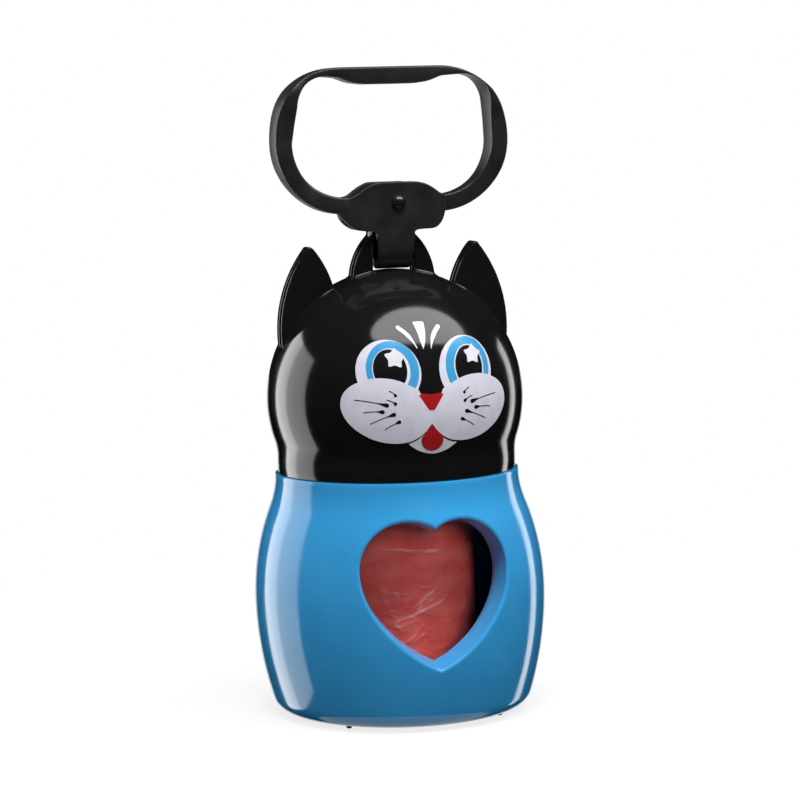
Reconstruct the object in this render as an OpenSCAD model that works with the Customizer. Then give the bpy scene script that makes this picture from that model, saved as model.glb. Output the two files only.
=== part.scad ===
// Pocket dispenser for a roll of waste bags: a barrel body with a heart window,
// a domed head with ears, and a rubber hanger that swings on the head's bail.
// Millimetres, +Z up, the front faces -Y, origin on the table under the middle of the base.

/* [Bag roll] */
// Outer radius of a full roll
roll_r = 15.2; // [12:0.1:16]
// Length of the roll
roll_h = 60; // [50:1:64]
// Outer radius of the cardboard core
core_r = 7; // [6:0.1:9]
// Wall of the cardboard core
core_wall = 1; // [0.6:0.1:1.4]

/* [Body] */
// Radius at the widest place of the body
belly_r = 28.4; // [27:0.1:31]
// Height of the widest place
belly_z = 23.2; // [21:0.1:26]
// Radius of the side curve below the belly
lower_arc = 68; // [55:1:90]
// Radius of the side curve above the belly
upper_arc = 48; // [46:1:60]
// Height at which the side turns upright towards the mouth
turn_z = 41; // [39:0.1:43]
// Height of the seam between body and head
seam_z = 47.3; // [46:0.1:50]
// Radius of the bottom corner
corner_r = 4; // [3.5:0.1:5]
// Wall of every moulded shell
wall = 2; // [1.6:0.1:2.2]

/* [Heart window] */
// Radius of the two lobes
lobe_r = 9.55; // [8:0.05:10]
// Distance of a lobe's centre from the middle
lobe_x = 5.7; // [5:0.1:6.5]
// Height of the lobes' centres
lobe_z = 31.25; // [29:0.05:32]
// Radius of the heart's sides below the lobes
heart_side_r = 16.5; // [14:0.1:20]
// Radius of the heart's lower edges towards the tip
heart_low_r = 30.9; // [25:0.1:36]
// Depth of the window's turned-in wall
heart_depth = 5.5; // [4:0.1:6]
// Thickness of the turned-in wall
heart_wall = 1.5; // [1.2:0.1:2]
// Inward lean of the turned-in wall over its depth
heart_lean = 1.1; // [0.4:0.1:1.4]

/* [Base] */
// Height of the small feet
foot_h = 0.6; // [0.4:0.1:1.2]
// Radius of a foot
foot_r = 0.55; // [0.4:0.05:0.9]
// How far the feet stand inside the edge of the base plate
foot_in = 1.2; // [1:0.1:6]
// How far the opening in the underside lies inside the body's bottom edge
lip_in = 3.1; // [2.8:0.1:4]
// Thickness of the body's lip under the base plate
lip_t = 1.3; // [1:0.1:1.6]
// Thickness of the base plate's rim
rim_t = 1.2; // [1:0.1:1.6]
// How far the rim reaches over the lip
rim_over = 0.8; // [0.5:0.1:0.9]
// Height of the roll's spigot above the base plate
spigot_h = 12; // [8:0.5:20]

/* [Head] */
// How far the head's neck steps in from the body's mouth at the seam
neck_step = 0.55; // [0.3:0.05:0.8]
// Height of the upright neck above the seam
neck_h = 3.2; // [2:0.1:5]
// How far the dome bulges out past the neck
head_bulge = 1.75; // [1.2:0.05:3]
// Radius of the hollow curve between neck and dome
neck_blend = 10; // [8:0.5:14]
// Thickness of ears and bail, front to back
fin_t = 4; // [3.4:0.1:4.2]
// Angle of an ear's tip above the horizontal, seen from the dome's centre
ear_a = 61.1; // [55:0.1:65]
// How far an ear's tip stands out from the dome
ear_h = 9.4; // [7:0.1:11]
// Radius of an ear's outer edge
ear_outer_r = 26; // [20:0.1:34]
// Radius of an ear's inner edge
ear_inner_r = 20; // [17:0.1:30]
// Width of an ear's blunt tip
ear_blunt = 0.6; // [0.3:0.1:1]

/* [Bail] */
// Height of the bail bar's axis above the top of the dome
bar_rise = 6.5; // [6.3:0.1:8]
// Radius of the bail bar
bar_r = 2; // [1.6:0.05:2]
// Half width of the slot under the bar
slot_x = 4.15; // [4:0.05:4.6]
// Half width of the bail at the dome
bail_foot_x = 8; // [7.5:0.1:9]
// Radius of the bail's two outer curves
bail_side_r = 12.5; // [11.5:0.1:14]

/* [Neck joint] */
// Length of the collar inside the body's mouth
plug_h = 5.8; // [4:0.1:6]
// Length of the collar inside the head
root_h = 4; // [3:0.1:6]
// Wall of the body's mouth
mouth_wall = 1.85; // [1.5:0.05:2.2]
// Wall of the collar's plug
collar_wall = 1.55; // [1.2:0.05:1.8]
// Width of the key that lines the face up with the heart
key_w = 2.4; // [1.6:0.1:3]
// How far the key stands out of the collar
key_out = 0.7; // [0.4:0.1:0.8]

/* [Hanger] */
// Thickness of the folded rubber layer
layer_t = 1.5; // [1.2:0.1:1.6]
// Half width of the neck under the bar
tab_x = 3.3; // [2.8:0.1:3.6]
// Half width of the neck where it meets the pads
tab_top_x = 3.8; // [3.3:0.05:3.85]
// Height of the pads' lower edge above the bar's axis
pad_low = 0.95; // [0.9:0.05:1.6]
// Height of the pads' upper edge above the loop's lower edge
pad_top = 5.9; // [5:0.1:7]
// Half width of the pads
pad_x = 10.6; // [10:0.1:12]
// Distance of the loop's corner centres from the middle
corner_x = 9.5; // [8:0.1:11]
// Height of the loop's lower edge above the pads' lower edge
loop_low = 3.4; // [3:0.1:4]
// Outer radius of the loop's lower corners
loop_r = 13.8; // [13:0.1:15]
// Height of the loop's top above its corner centres
loop_top = 14.3; // [13.5:0.1:16]
// Width of the loop's arms seen from the front
arm_w = 3.25; // [2.8:0.05:3.6]
// Height of the loop's top bar seen from the front
grip_w = 3.1; // [2.6:0.05:3.6]
// Width of the thin bends at the loop's upper corners
bend_w = 1.1; // [0.9:0.05:1.6]
// Depth of the loop's arms, front to back
arm_d = 6; // [5:0.1:7]
// Depth of the loop at its upper corners
bend_d = 7.5; // [6:0.1:9]

/* [Rivet] */
// Radius of the rivet's shank
shank_r = 0.8; // [0.6:0.05:1]
// Radius of the rivet's domed head
dome_r = 1.6; // [1.3:0.05:2]
// Height of the rivet's domed head
dome_h = 0.85; // [0.6:0.05:1.1]
// Radius of the rear cap
cap_r = 2.2; // [1.8:0.05:2.6]
// Thickness of the rear cap
cap_t = 0.9; // [0.7:0.05:1.2]

/* [Fits] */
// Running clearance round the roll's spigot
spigot_clear = 0.25; // [0.15:0.05:0.4]
// Sliding clearance between collar and mouth
plug_clear = 0.15; // [0.1:0.05:0.2]
// Clearance between strap and bail bar
strap_clear = 0.3; // [0.2:0.05:0.4]
// Gap left by a glued or clamped joint
snug = 0.05; // [0.02:0.01:0.08]
// Height of the roll above the base plate
roll_lift = 0.2; // [0.1:0.1:0.5]
// Radius of a locating pin
pin_r = 1; // [0.8:0.05:1.2]
// Length of a locating pin
pin_l = 3.5; // [2:0.5:4]
// Clearance round a locating pin
pin_clear = 0.08; // [0.05:0.01:0.12]

/* [Hidden] */

blue = "#3E97CF";
black = "#1B1A19";
rubber = "#232222";
film_red = "#A34644";
board = "#B99B72";
steel = "#2A2A2C";

over = 1;
arc_step = 3;

// Base, stacked up from the table
lip_top = foot_h + lip_t;
rim_low = lip_top + snug;
rim_top = rim_low + rim_t;
bead_z = rim_top + snug;
bead_h = 0.8;
bead_in = 0.6;
spigot_r = core_r - core_wall - spigot_clear;
spigot_wall = 1.5;
roll_z = rim_top + roll_lift;

// Body side curves
lower_x = belly_r - lower_arc;
upper_x = belly_r - upper_arc;
corner_z = foot_h + corner_r;
corner_cx = lower_x + sqrt(pow(lower_arc - corner_r, 2) - pow(belly_z - corner_z, 2));
corner_a = -asin((belly_z - corner_z) / (lower_arc - corner_r));
lip_r = corner_cx + corner_r - lip_in;
rim_r = lip_r + rim_over;
lip_a = -acos((lip_r - corner_cx) / corner_r);
turn_a = asin((turn_z - belly_z) / upper_arc);
turn_r = (seam_z - turn_z) / sin(turn_a);
turn_x = upper_x + (upper_arc + turn_r) * cos(turn_a);
seam_r = turn_x - turn_r;
mouth_r = seam_r - mouth_wall;
mouth_z = seam_z - plug_h - 0.2;
mouth_slope = 1.3;

// Bosses for the locating pins of the body halves
boss_r = pin_r + 1;
boss_l = 6;
boss_zs = [12, 35];

// Head
neck_r = seam_r - neck_step;
head_r = neck_r + head_bulge;
blend_x = neck_r + neck_blend;
blend_z = seam_z + neck_h;
head_z = blend_z + sqrt(pow(head_r + neck_blend, 2) - pow(blend_x, 2));
top_z = head_z + head_r;
blend_a = -asin((head_z - blend_z) / (head_r + neck_blend));
ear_foot_a = 25;
ear_root_a = 61;
ear_tip = (head_r + ear_h) * [cos(ear_a), sin(ear_a)];
ear_foot = [head_r * cos(ear_foot_a), head_r * sin(ear_foot_a)];
ear_root = [head_r * cos(ear_root_a), head_r * sin(ear_root_a)];
ear_pin_a = 42;
ear_pin_l = 1.2;

// Bail and hanger
bar_z = top_z + bar_rise;
bail_foot_rise = 0.3;
bar_taper = 0.5;
in_y = bar_r + strap_clear;
out_y = in_y + layer_t;
fold_z = top_z + out_y + 0.25;
low_z = bar_z + pad_low + loop_low;
corner_cz = low_z + loop_r;
rivet_z = low_z + arm_w / 2 + 0.45;
inner_r = loop_r - arm_w;
outer_x = corner_x + loop_r;
loop_top_z = corner_cz + loop_top;
grip_z = loop_top_z - grip_w;
bend_r = 7.2;
bend_cx = outer_x - arm_w - bend_r - 0.55;
bend_cz = loop_top_z - bend_w - bend_r - 0.5;
tongue_end = -4;
shoulder_x = 4.2;

function arc(cx, cz, r, a0, a1) =
    let (n = max(2, ceil(abs(a1 - a0) / arc_step)))
    [for (i = [0 : n]) let (a = a0 + (a1 - a0) * i / n) [cx + r * cos(a), cz + r * sin(a)]];

function mirrored(points) = [for (i = [len(points) - 1 : -1 : 0]) [-points[i][0], points[i][1]]];

// Centre of the circle of radius r through p and q that lies on the right of the way from p to q
function arc_centre(p, q, r) =
    let (m = (p + q) / 2, d = q - p, l = norm(d), h = sqrt(r * r - l * l / 4))
    m + h * [d[1], -d[0]] / l;

// Side of the body from the bottom corner up to the seam, moved inwards by the depth
function body_side(depth) = concat(
    arc(lower_x, belly_z, lower_arc - depth, corner_a, 0),
    arc(upper_x, belly_z, upper_arc - depth, 0, turn_a),
    arc(turn_x, seam_z, turn_r + depth, 180 + turn_a, 180));

function body_outer() = concat(arc(corner_cx, corner_z, corner_r, lip_a, corner_a), body_side(0));

// Points of the side that lie above the base's bead and below the mouth ring
function body_inner() = [for (p = body_side(wall))
    if (p[1] > bead_z + bead_h + bead_in + 0.1 && p[1] < mouth_z - mouth_slope - 0.1) p];

function side_r(z) = z < belly_z
    ? lower_x + sqrt(pow(lower_arc, 2) - pow(belly_z - z, 2))
    : upper_x + sqrt(pow(upper_arc, 2) - pow(z - belly_z, 2));

function body_wall() = concat(
    body_outer(),
    [[mouth_r, seam_z], [mouth_r, mouth_z], [side_r(mouth_z - mouth_slope) - wall, mouth_z - mouth_slope]],
    [for (i = [len(body_inner()) - 1 : -1 : 0]) body_inner()[i]],
    [[side_r(bead_z + bead_h + bead_in) - wall, bead_z + bead_h + bead_in],
        [rim_r - bead_in, bead_z + bead_h], [rim_r - bead_in, bead_z], [rim_r + snug, bead_z],
        [rim_r + snug, lip_top], [lip_r, lip_top]]);

function head_outer(depth) = concat(
    [[neck_r - depth, seam_z]],
    arc(blend_x, blend_z, neck_blend + depth, 180, 180 + blend_a),
    arc(0, head_z, head_r - depth, blend_a, 90));

function head_wall() = let (inner = head_outer(wall))
    concat(head_outer(0), [for (i = [len(inner) - 1 : -1 : 0]) inner[i]]);

// Heart outline, grown outwards by the given amount
heart_join_a = -6;
heart_low_a = -35;
heart_side = [lobe_x, lobe_z] - (heart_side_r - lobe_r) * [cos(heart_join_a), sin(heart_join_a)];
heart_low = heart_side - (heart_low_r - heart_side_r) * [cos(heart_low_a), sin(heart_low_a)];
heart_mid_z = lobe_z - 4.65;

function heart_half(grow) = concat(
    arc(heart_low[0], heart_low[1], heart_low_r + grow, -acos(-heart_low[0] / (heart_low_r + grow)),
        heart_low_a),
    arc(heart_side[0], heart_side[1], heart_side_r + grow, heart_low_a, heart_join_a),
    arc(lobe_x, lobe_z, lobe_r + grow, heart_join_a, acos(-lobe_x / (lobe_r + grow))));

function heart(grow) = concat(heart_half(grow), mirrored(heart_half(grow)));

// Hanger outlines, seen from the front
function loop_outer_half() = concat(
    arc(corner_x, corner_cz, loop_r, -90, 0),
    [for (p = arc(0, 0, 1, 0, 90)) [corner_x + loop_r * p[0], corner_cz + loop_top * p[1]]]);

function loop_inner_half() = concat(
    arc(corner_x, corner_cz, inner_r, -90, 0),
    arc(bend_cx, bend_cz, bend_r, 0, 90),
    [[bend_cx - 4.1, grip_z + 0.5], [bend_cx - 6, grip_z + 0.1], [bend_cx - 8, grip_z]]);

function pad_half() = concat(
    [[tab_x, fold_z], [tab_top_x, bar_z - 0.8], [tab_top_x, bar_z + pad_low - 0.35],
        [tab_top_x + 0.4, bar_z + pad_low]],
    arc(pad_x - 3.6, bar_z + pad_low + 3.6, 3.6, -88, -10),
    [[pad_x, low_z + 1.6], [pad_x - 0.2, low_z + arm_w - 0.3], [pad_x - 1.7, low_z + arm_w]],
    arc(shoulder_x + 0.3, low_z + pad_top - 3.2, 3.2, 28, 88),
    [[shoulder_x - 1.2, low_z + pad_top]]);

module in_front(y0, y1) {
    translate([0, y1, 0]) rotate([90, 0, 0]) linear_extrude(y1 - y0) children();
}

module both_sides() {
    children();
    mirror([1, 0, 0]) children();
}

// Half of a turned shell: the front half lies at -Y
module half_turn(front) {
    rotate([0, 0, front ? 180 : 0]) rotate_extrude(angle = 180, $fn = 96) children();
}

module half_space(front) {
    reach = 3 * belly_r;
    translate([-reach, front ? -reach : 0, -over]) cube([2 * reach, reach, loop_top_z + 20]);
}

// Cylinder along Y from y0 to y1
module across(x, z, r, y0, y1) {
    translate([x, y0, z]) rotate([-90, 0, 0]) cylinder(r = r, h = y1 - y0, $fn = 48);
}

module base_plate() {
    plate_r = lip_r - snug;
    color(blue) difference() {
        union() {
            rotate_extrude($fn = 96) polygon([[0, foot_h], [plate_r - 0.6, foot_h], [plate_r, foot_h + 0.6],
                [plate_r, rim_low], [rim_r - snug, rim_low], [rim_r - snug, rim_top], [spigot_r, rim_top],
                [spigot_r, rim_top + spigot_h - 1], [spigot_r - 1, rim_top + spigot_h],
                [0, rim_top + spigot_h]]);
            for (a = [45 : 90 : 315])
                rotate([0, 0, a]) translate([plate_r - foot_in, 0, 0])
                    cylinder(r = foot_r, h = foot_h + 0.3, $fn = 24);
        }
        translate([0, 0, -over])
            cylinder(r = spigot_r - spigot_wall, h = rim_top + spigot_h - spigot_wall + over, $fn = 48);
    }
}

// Bosses of the body halves: sockets in front, pins behind
module body_boss(z, front) {
    x = side_r(z) - wall - boss_r + 0.2;
    if (front) difference() {
        across(x, z, boss_r, -boss_l, 0);
        across(x, z, pin_r + pin_clear, -pin_l - 0.5, over);
    }
    else union() {
        across(x, z, boss_r, 0, boss_l);
        across(x, z, pin_r, -pin_l, over);
    }
}

// Wall that turns in behind the window's edge
module heart_collar() {
    side = function (depth) concat(
        arc(lower_x, belly_z, lower_arc - depth, corner_a, 0),
        arc(upper_x, belly_z, upper_arc - depth, 0, turn_a));
    inner = side(heart_depth);
    intersection() {
        in_front(-belly_r - over, 0) polygon(heart(heart_wall));
        half_turn(true)
            polygon(concat(side(wall / 2), [for (i = [len(inner) - 1 : -1 : 0]) inner[i]]));
    }
}

// Heart-shaped hole that narrows inwards
module heart_cutter() {
    near_y = -belly_r - over;
    far_y = -belly_r + 2 * heart_depth;
    half = lobe_x + lobe_r;
    near = 1 + heart_lean / half * over / heart_depth;
    far = 1 - heart_lean / half * 2;
    translate([0, far_y, heart_mid_z]) rotate([90, 0, 0])
        linear_extrude(far_y - near_y, scale = near / far)
            scale(far) translate([0, -heart_mid_z]) polygon(heart(0));
}

module body_front_shell() {
    color(blue) difference() {
        union() {
            half_turn(true) polygon(body_wall());
            heart_collar();
            both_sides() for (z = boss_zs) body_boss(z, true);
        }
        heart_cutter();
    }
}

module body_rear_shell() {
    color(blue) difference() {
        union() {
            half_turn(false) polygon(body_wall());
            both_sides() for (z = boss_zs) body_boss(z, false);
        }
        translate([-key_w / 2 - plug_clear, mouth_r - over, mouth_z - mouth_slope])
            cube([key_w + 2 * plug_clear, over + key_out + plug_clear, plug_h + mouth_slope + over]);
    }
}

module neck_collar() {
    plug_r = mouth_r - plug_clear;
    root_r = neck_r - wall - snug;
    low = seam_z - plug_h;
    color(black) {
        rotate_extrude($fn = 96) polygon([[plug_r - collar_wall, low], [plug_r - 0.5, low], [plug_r, low + 0.5],
            [plug_r, seam_z], [root_r, seam_z], [root_r, seam_z + root_h], [plug_r - collar_wall, seam_z + root_h]]);
        translate([-key_w / 2, plug_r - collar_wall / 2, low + 0.5])
            cube([key_w, collar_wall / 2 + key_out, plug_h - 0.8]);
    }
}

module ear_shape() {
    outer_c = arc_centre(ear_tip + [ear_blunt / 2, 0], ear_foot, ear_outer_r);
    inner_c = arc_centre(ear_root, ear_tip - [ear_blunt / 2, 0], ear_inner_r);
    translate([0, head_z]) intersection() {
        translate(outer_c) circle(r = ear_outer_r, $fn = 120);
        translate(inner_c) circle(r = ear_inner_r, $fn = 120);
        circle(r = norm(ear_tip), $fn = 180);
    }
}

module bail_shape() {
    lean = sqrt(pow(bail_side_r, 2) - pow(bail_foot_rise + 2.3, 2));
    difference() {
        intersection() {
            translate([bail_foot_x - lean, top_z - 2.3]) circle(r = bail_side_r, $fn = 120);
            translate([lean - bail_foot_x, top_z - 2.3]) circle(r = bail_side_r, $fn = 120);
            translate([-bail_foot_x - 1, top_z - 4]) square([2 * bail_foot_x + 2, bar_rise + 8]);
        }
        translate([-slot_x, top_z - 6]) square([2 * slot_x, bar_rise + 12]);
    }
}

module bail_bar() {
    rotate([0, 90, 0]) {
        cylinder(r = bar_r, h = 2 * slot_x, center = true, $fn = 64);
        for (s = [0, 1]) mirror([0, 0, s]) translate([0, 0, slot_x - 0.01])
            cylinder(r1 = bar_r, r2 = bar_r / 2, h = bar_taper, $fn = 64);
    }
}

module ear_pin(r, l) {
    x = (head_r + 2) * cos(ear_pin_a);
    z = head_z + (head_r + 2) * sin(ear_pin_a);
    both_sides() across(x, z, r, -l, over);
}

module head_shell(front) {
    difference() {
        union() {
            half_turn(front) polygon(head_wall());
            intersection() {
                union() {
                    both_sides() in_front(-fin_t / 2, fin_t / 2) ear_shape();
                    in_front(-fin_t / 2, fin_t / 2) bail_shape();
                    translate([0, 0, bar_z]) bail_bar();
                }
                half_space(front);
            }
        }
        half_turn(front) polygon(concat([[0, seam_z - over], [neck_r - wall, seam_z - over]],
            head_outer(wall)));
    }
}

module head_front_shell() {
    color(black) difference() {
        head_shell(true);
        ear_pin(pin_r + pin_clear, ear_pin_l + 0.2);
    }
}

module head_rear_shell() {
    color(black) union() {
        head_shell(false);
        ear_pin(pin_r, ear_pin_l);
    }
}

module roll_core() {
    color(board) translate([0, 0, roll_z]) difference() {
        cylinder(r = core_r, h = roll_h, $fn = 64);
        translate([0, 0, -over]) cylinder(r = core_r - core_wall, h = roll_h + 2 * over, $fn = 64);
    }
}

module bag_roll() {
    color(film_red) translate([0, 0, roll_z]) difference() {
        cylinder(r = roll_r, h = roll_h, $fn = 96);
        translate([0, 0, -over]) cylinder(r = core_r + snug, h = roll_h + 2 * over, $fn = 64);
    }
}

// Depth of the loop at each height, seen from the side
function loop_depth_half() = [
    [in_y - snug, low_z - over],
    [in_y - snug, low_z + arm_w + 1],
    [arm_d / 2, corner_cz - 3],
    [arm_d / 2, corner_cz + 2],
    [bend_d / 2, bend_cz + 2],
    [bend_d / 2, bend_cz + 5],
    [arm_d / 2 - 0.4, loop_top_z + over]];

module loop_depth() {
    rotate([90, 0, 90]) linear_extrude(2 * outer_x + 4, center = true)
        polygon(concat(loop_depth_half(), mirrored(loop_depth_half())));
}

module hanger_loop() {
    intersection() {
        in_front(-bend_d, bend_d) difference() {
            polygon(concat(loop_outer_half(), mirrored(loop_outer_half())));
            polygon(concat(loop_inner_half(), mirrored(loop_inner_half())));
            translate([-pad_x - 0.6, low_z - over])
                square([pad_x + 0.6 + tongue_end, arm_w + 2 * over]);
        }
        loop_depth();
    }
}

// The front layer runs into the left arm, which comes forward to meet it
module left_arm_lead() {
    bend_out = -corner_x - loop_r * 0.62;
    intersection() {
        in_front(-out_y, 0) difference() {
            polygon(concat(loop_outer_half(), mirrored(loop_outer_half())));
            polygon(concat(loop_inner_half(), mirrored(loop_inner_half())));
        }
        translate([0, 0, low_z - over]) linear_extrude(loop_r) polygon([[-pad_x + 1, -out_y], [-pad_x - 1.2, -out_y],
            [bend_out, -in_y], [bend_out, -in_y + 1], [-pad_x - 1.2, -in_y + 1],
            [-pad_x - 0.6, -in_y], [-pad_x + 1, -in_y]]);
    }
}

module pad_layer(y0, y1) {
    in_front(y0, y1) polygon(concat(pad_half(), mirrored(pad_half())));
}

module neck_fold() {
    intersection() {
        translate([0, 0, fold_z]) rotate([0, 90, 0]) difference() {
            cylinder(r = out_y, h = 2 * tab_x, center = true, $fn = 96);
            cylinder(r = in_y, h = 2 * tab_x + over, center = true, $fn = 96);
        }
        translate([-2 * tab_x, -2 * out_y, fold_z - 2 * out_y]) cube([4 * tab_x, 4 * out_y, 2 * out_y]);
    }
}

module hanger_strap() {
    color(rubber) difference() {
        union() {
            pad_layer(-out_y, -in_y);
            pad_layer(in_y, out_y);
            neck_fold();
            hanger_loop();
            left_arm_lead();
        }
        across(0, rivet_z, shank_r + snug, -out_y - over, out_y + over);
    }
}

module hanger_rivet() {
    ball_r = (dome_r * dome_r + dome_h * dome_h) / (2 * dome_h);
    color(steel) union() {
        across(0, rivet_z, shank_r, -out_y - dome_h / 2, out_y);
        intersection() {
            translate([0, -out_y - dome_h + ball_r, rivet_z]) sphere(r = ball_r, $fn = 64);
            across(0, rivet_z, dome_r + over, -out_y - 2 * dome_h, -out_y);
        }
    }
}

module rivet_cap() {
    color(steel) translate([0, out_y, rivet_z]) rotate([-90, 0, 0]) rotate_extrude($fn = 48)
        polygon([[0, 0], [cap_r, 0], [cap_r, cap_t / 2], [cap_r - cap_t / 2, cap_t], [0, cap_t]]);
}

base_plate();
body_front_shell();
body_rear_shell();
neck_collar();
head_front_shell();
head_rear_shell();
roll_core();
bag_roll();
hanger_strap();
hanger_rivet();
rivet_cap();
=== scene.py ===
from math import acos, asin, atan2, ceil, cos, degrees, exp, hypot, pi, radians, sin, sqrt

import bmesh
import bpy
from mathutils import Matrix, Vector, noise
from mathutils.geometry import delaunay_2d_cdt


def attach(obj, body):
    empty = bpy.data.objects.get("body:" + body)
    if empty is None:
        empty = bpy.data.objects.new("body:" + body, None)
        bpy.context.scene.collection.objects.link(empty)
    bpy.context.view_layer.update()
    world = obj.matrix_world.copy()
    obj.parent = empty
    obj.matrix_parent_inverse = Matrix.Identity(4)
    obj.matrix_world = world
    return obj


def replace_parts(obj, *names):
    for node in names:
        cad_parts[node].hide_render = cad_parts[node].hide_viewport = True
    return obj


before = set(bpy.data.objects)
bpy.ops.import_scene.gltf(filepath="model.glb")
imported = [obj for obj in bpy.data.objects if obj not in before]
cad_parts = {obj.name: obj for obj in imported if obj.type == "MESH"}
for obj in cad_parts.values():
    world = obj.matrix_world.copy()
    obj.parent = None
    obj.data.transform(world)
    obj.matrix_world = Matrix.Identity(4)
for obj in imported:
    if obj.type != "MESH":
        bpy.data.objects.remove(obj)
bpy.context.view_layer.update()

MM = 0.001

# Sizes in millimetres: those of the part's source, and small ones of the scene alone
BELLY_R, BELLY_Z = 28.4, 23.2
LOWER_ARC, UPPER_ARC = 68.0, 48.0
TURN_Z, SEAM_Z = 41.0, 47.3
BASE_Z, CORNER_R = 0.6, 4.0
WALL = 2.0
LIP_R, LIP_TOP = 22.54, 1.9
MOUTH_R, MOUTH_Z = 21.92, 41.3
NECK_R, NECK_BLEND, BLEND_Z = 23.22, 10.0, 50.5
HEAD_R, HEAD_Z = 24.97, 61.42
TOP_Z = HEAD_Z + HEAD_R
BAR_Z = TOP_Z + 6.5
FIN, FIN_GAP, ROOT_R = 2.0, 0.02, 0.6
IN_Y, OUT_Y = 2.3, 3.8
FOLD_Z = TOP_Z + OUT_Y + 0.25
LOW_Z = BAR_Z + 4.35
LOOP_R, LOOP_H = 13.8, 14.3
CORNER_Z = LOW_Z + LOOP_R
LOOP_TOP = CORNER_Z + LOOP_H
RIVET_X, RIVET_Z, RIVET_R, RIVET_H = 0.7, LOW_Z + 2.08, 1.4, 1.15
ROLL_R, ROLL_Z, ROLL_H, CORE_R = 15.2, 3.35, 60.0, 7.06


# Finishes

def tint(code):
    """Linear colour from an sRGB hex value."""
    parts = [int(code[i:i + 2], 16) / 255 for i in (1, 3, 5)]
    return (*[c / 12.92 if c <= 0.04045 else ((c + 0.055) / 1.055) ** 2.4 for c in parts], 1.0)


def add(tree, kind, values=None, links=None, stops=None, **settings):
    """A node with its settings, its socket values, the sockets that feed it and its colour stops."""
    made = tree.nodes.new(kind)
    for key, value in settings.items():
        setattr(made, key, value)
    for index, (at, colour) in enumerate(stops or ()):
        elements = made.color_ramp.elements
        element = elements[index] if index < len(elements) else elements.new(at)
        element.position, element.color = at, colour
    for socket, value in (values or {}).items():
        made.inputs[socket].default_value = value
    for socket, source in (links or {}).items():
        tree.links.new(source, made.inputs[socket])
    return made


def grey(value):
    return (value, value, value, 1.0)


def finish(name, patterns=(), **values):
    """A material, its tree, its surface shader and the object's own coordinates. A pattern is a noise that
    sets one of the shader's sockets: (socket, the noise's values, its colour stops or its bump's values)."""
    material = bpy.data.materials.new(name)
    material.use_nodes = True
    tree = material.node_tree
    shader = tree.nodes["Principled BSDF"]
    for socket, value in values.items():
        shader.inputs[socket.replace("_", " ")].default_value = value
    place = add(tree, "ShaderNodeTexCoord").outputs["Object"]
    for socket, look, shape in patterns:
        cloud = add(tree, "ShaderNodeTexNoise", look, {"Vector": place}).outputs["Fac"]
        if socket == "Normal":
            source = add(tree, "ShaderNodeBump", shape, {"Height": cloud}).outputs["Normal"]
        else:
            source = add(tree, "ShaderNodeValToRGB", None, {"Fac": cloud}, shape).outputs["Color"]
        tree.links.new(source, shader.inputs[socket])
    return material, tree, shader, place


# Glossy moulded ABS: one even colour, a clear shine and a faint waviness left by the mould
def moulded(name, colour, deep):
    return finish(name, IOR=1.52, patterns=(
        # Colour drifts over about 11 mm
        ("Base Color", {"Scale": 90.0, "Detail": 3.0}, [(0.35, tint(colour)), (0.75, tint(deep))]),
        # Handling marks: patches about 8 mm across with a slightly softer shine
        ("Roughness", {"Scale": 120.0, "Detail": 6.0, "Roughness": 0.6},
         [(0.4, grey(0.1)), (0.7, grey(0.15))]),
        # Waviness of the skin, 3 mm from crest to crest
        ("Normal", {"Scale": 330.0, "Detail": 1.0}, {"Strength": 0.04, "Distance": 0.0002})))[0]


blue_abs = moulded("blue moulded ABS", "#3899D3", "#3392CC")
black_abs = moulded("black moulded ABS", "#161515", "#121112")

# Satin moulded rubber: near black, with a fine grain that breaks up the shine
rubber = finish("black moulded rubber", IOR=1.5, patterns=(
    # Paler and duller dusty places, 4 mm across
    ("Base Color", {"Scale": 260.0, "Detail": 4.0}, [(0.3, tint("#1C1B1B")), (0.75, tint("#262525"))]),
    ("Roughness", {"Scale": 260.0, "Detail": 4.0}, [(0.3, grey(0.38)), (0.7, grey(0.5))]),
    # Grain of the mould, 0.4 mm
    ("Normal", {"Scale": 2600.0, "Detail": 2.0}, {"Strength": 0.25, "Distance": 0.00006})))[0]

# Spiral-wound brown board: matt and fibrous, fibres about 1.4 mm long
board = finish("wound paperboard", Roughness=0.85, IOR=1.45, patterns=(
    ("Base Color", {"Scale": 700.0, "Detail": 5.0}, [(0.3, tint("#9C7F5C")), (0.7, tint("#C3A680"))]),
    ("Normal", {"Scale": 700.0, "Detail": 5.0}, {"Strength": 0.4, "Distance": 0.0001})))[0]

# Lacquered steel: black and bright, with 1 mm patches where the lacquer is rubbed
lacquer = finish("black lacquered steel", IOR=1.5, Coat_Weight=0.6, Base_Color=tint("#1A1A1C"), patterns=(
    ("Roughness", {"Scale": 900.0, "Detail": 4.0}, [(0.4, grey(0.12)), (0.7, grey(0.26))]),))[0]


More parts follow.
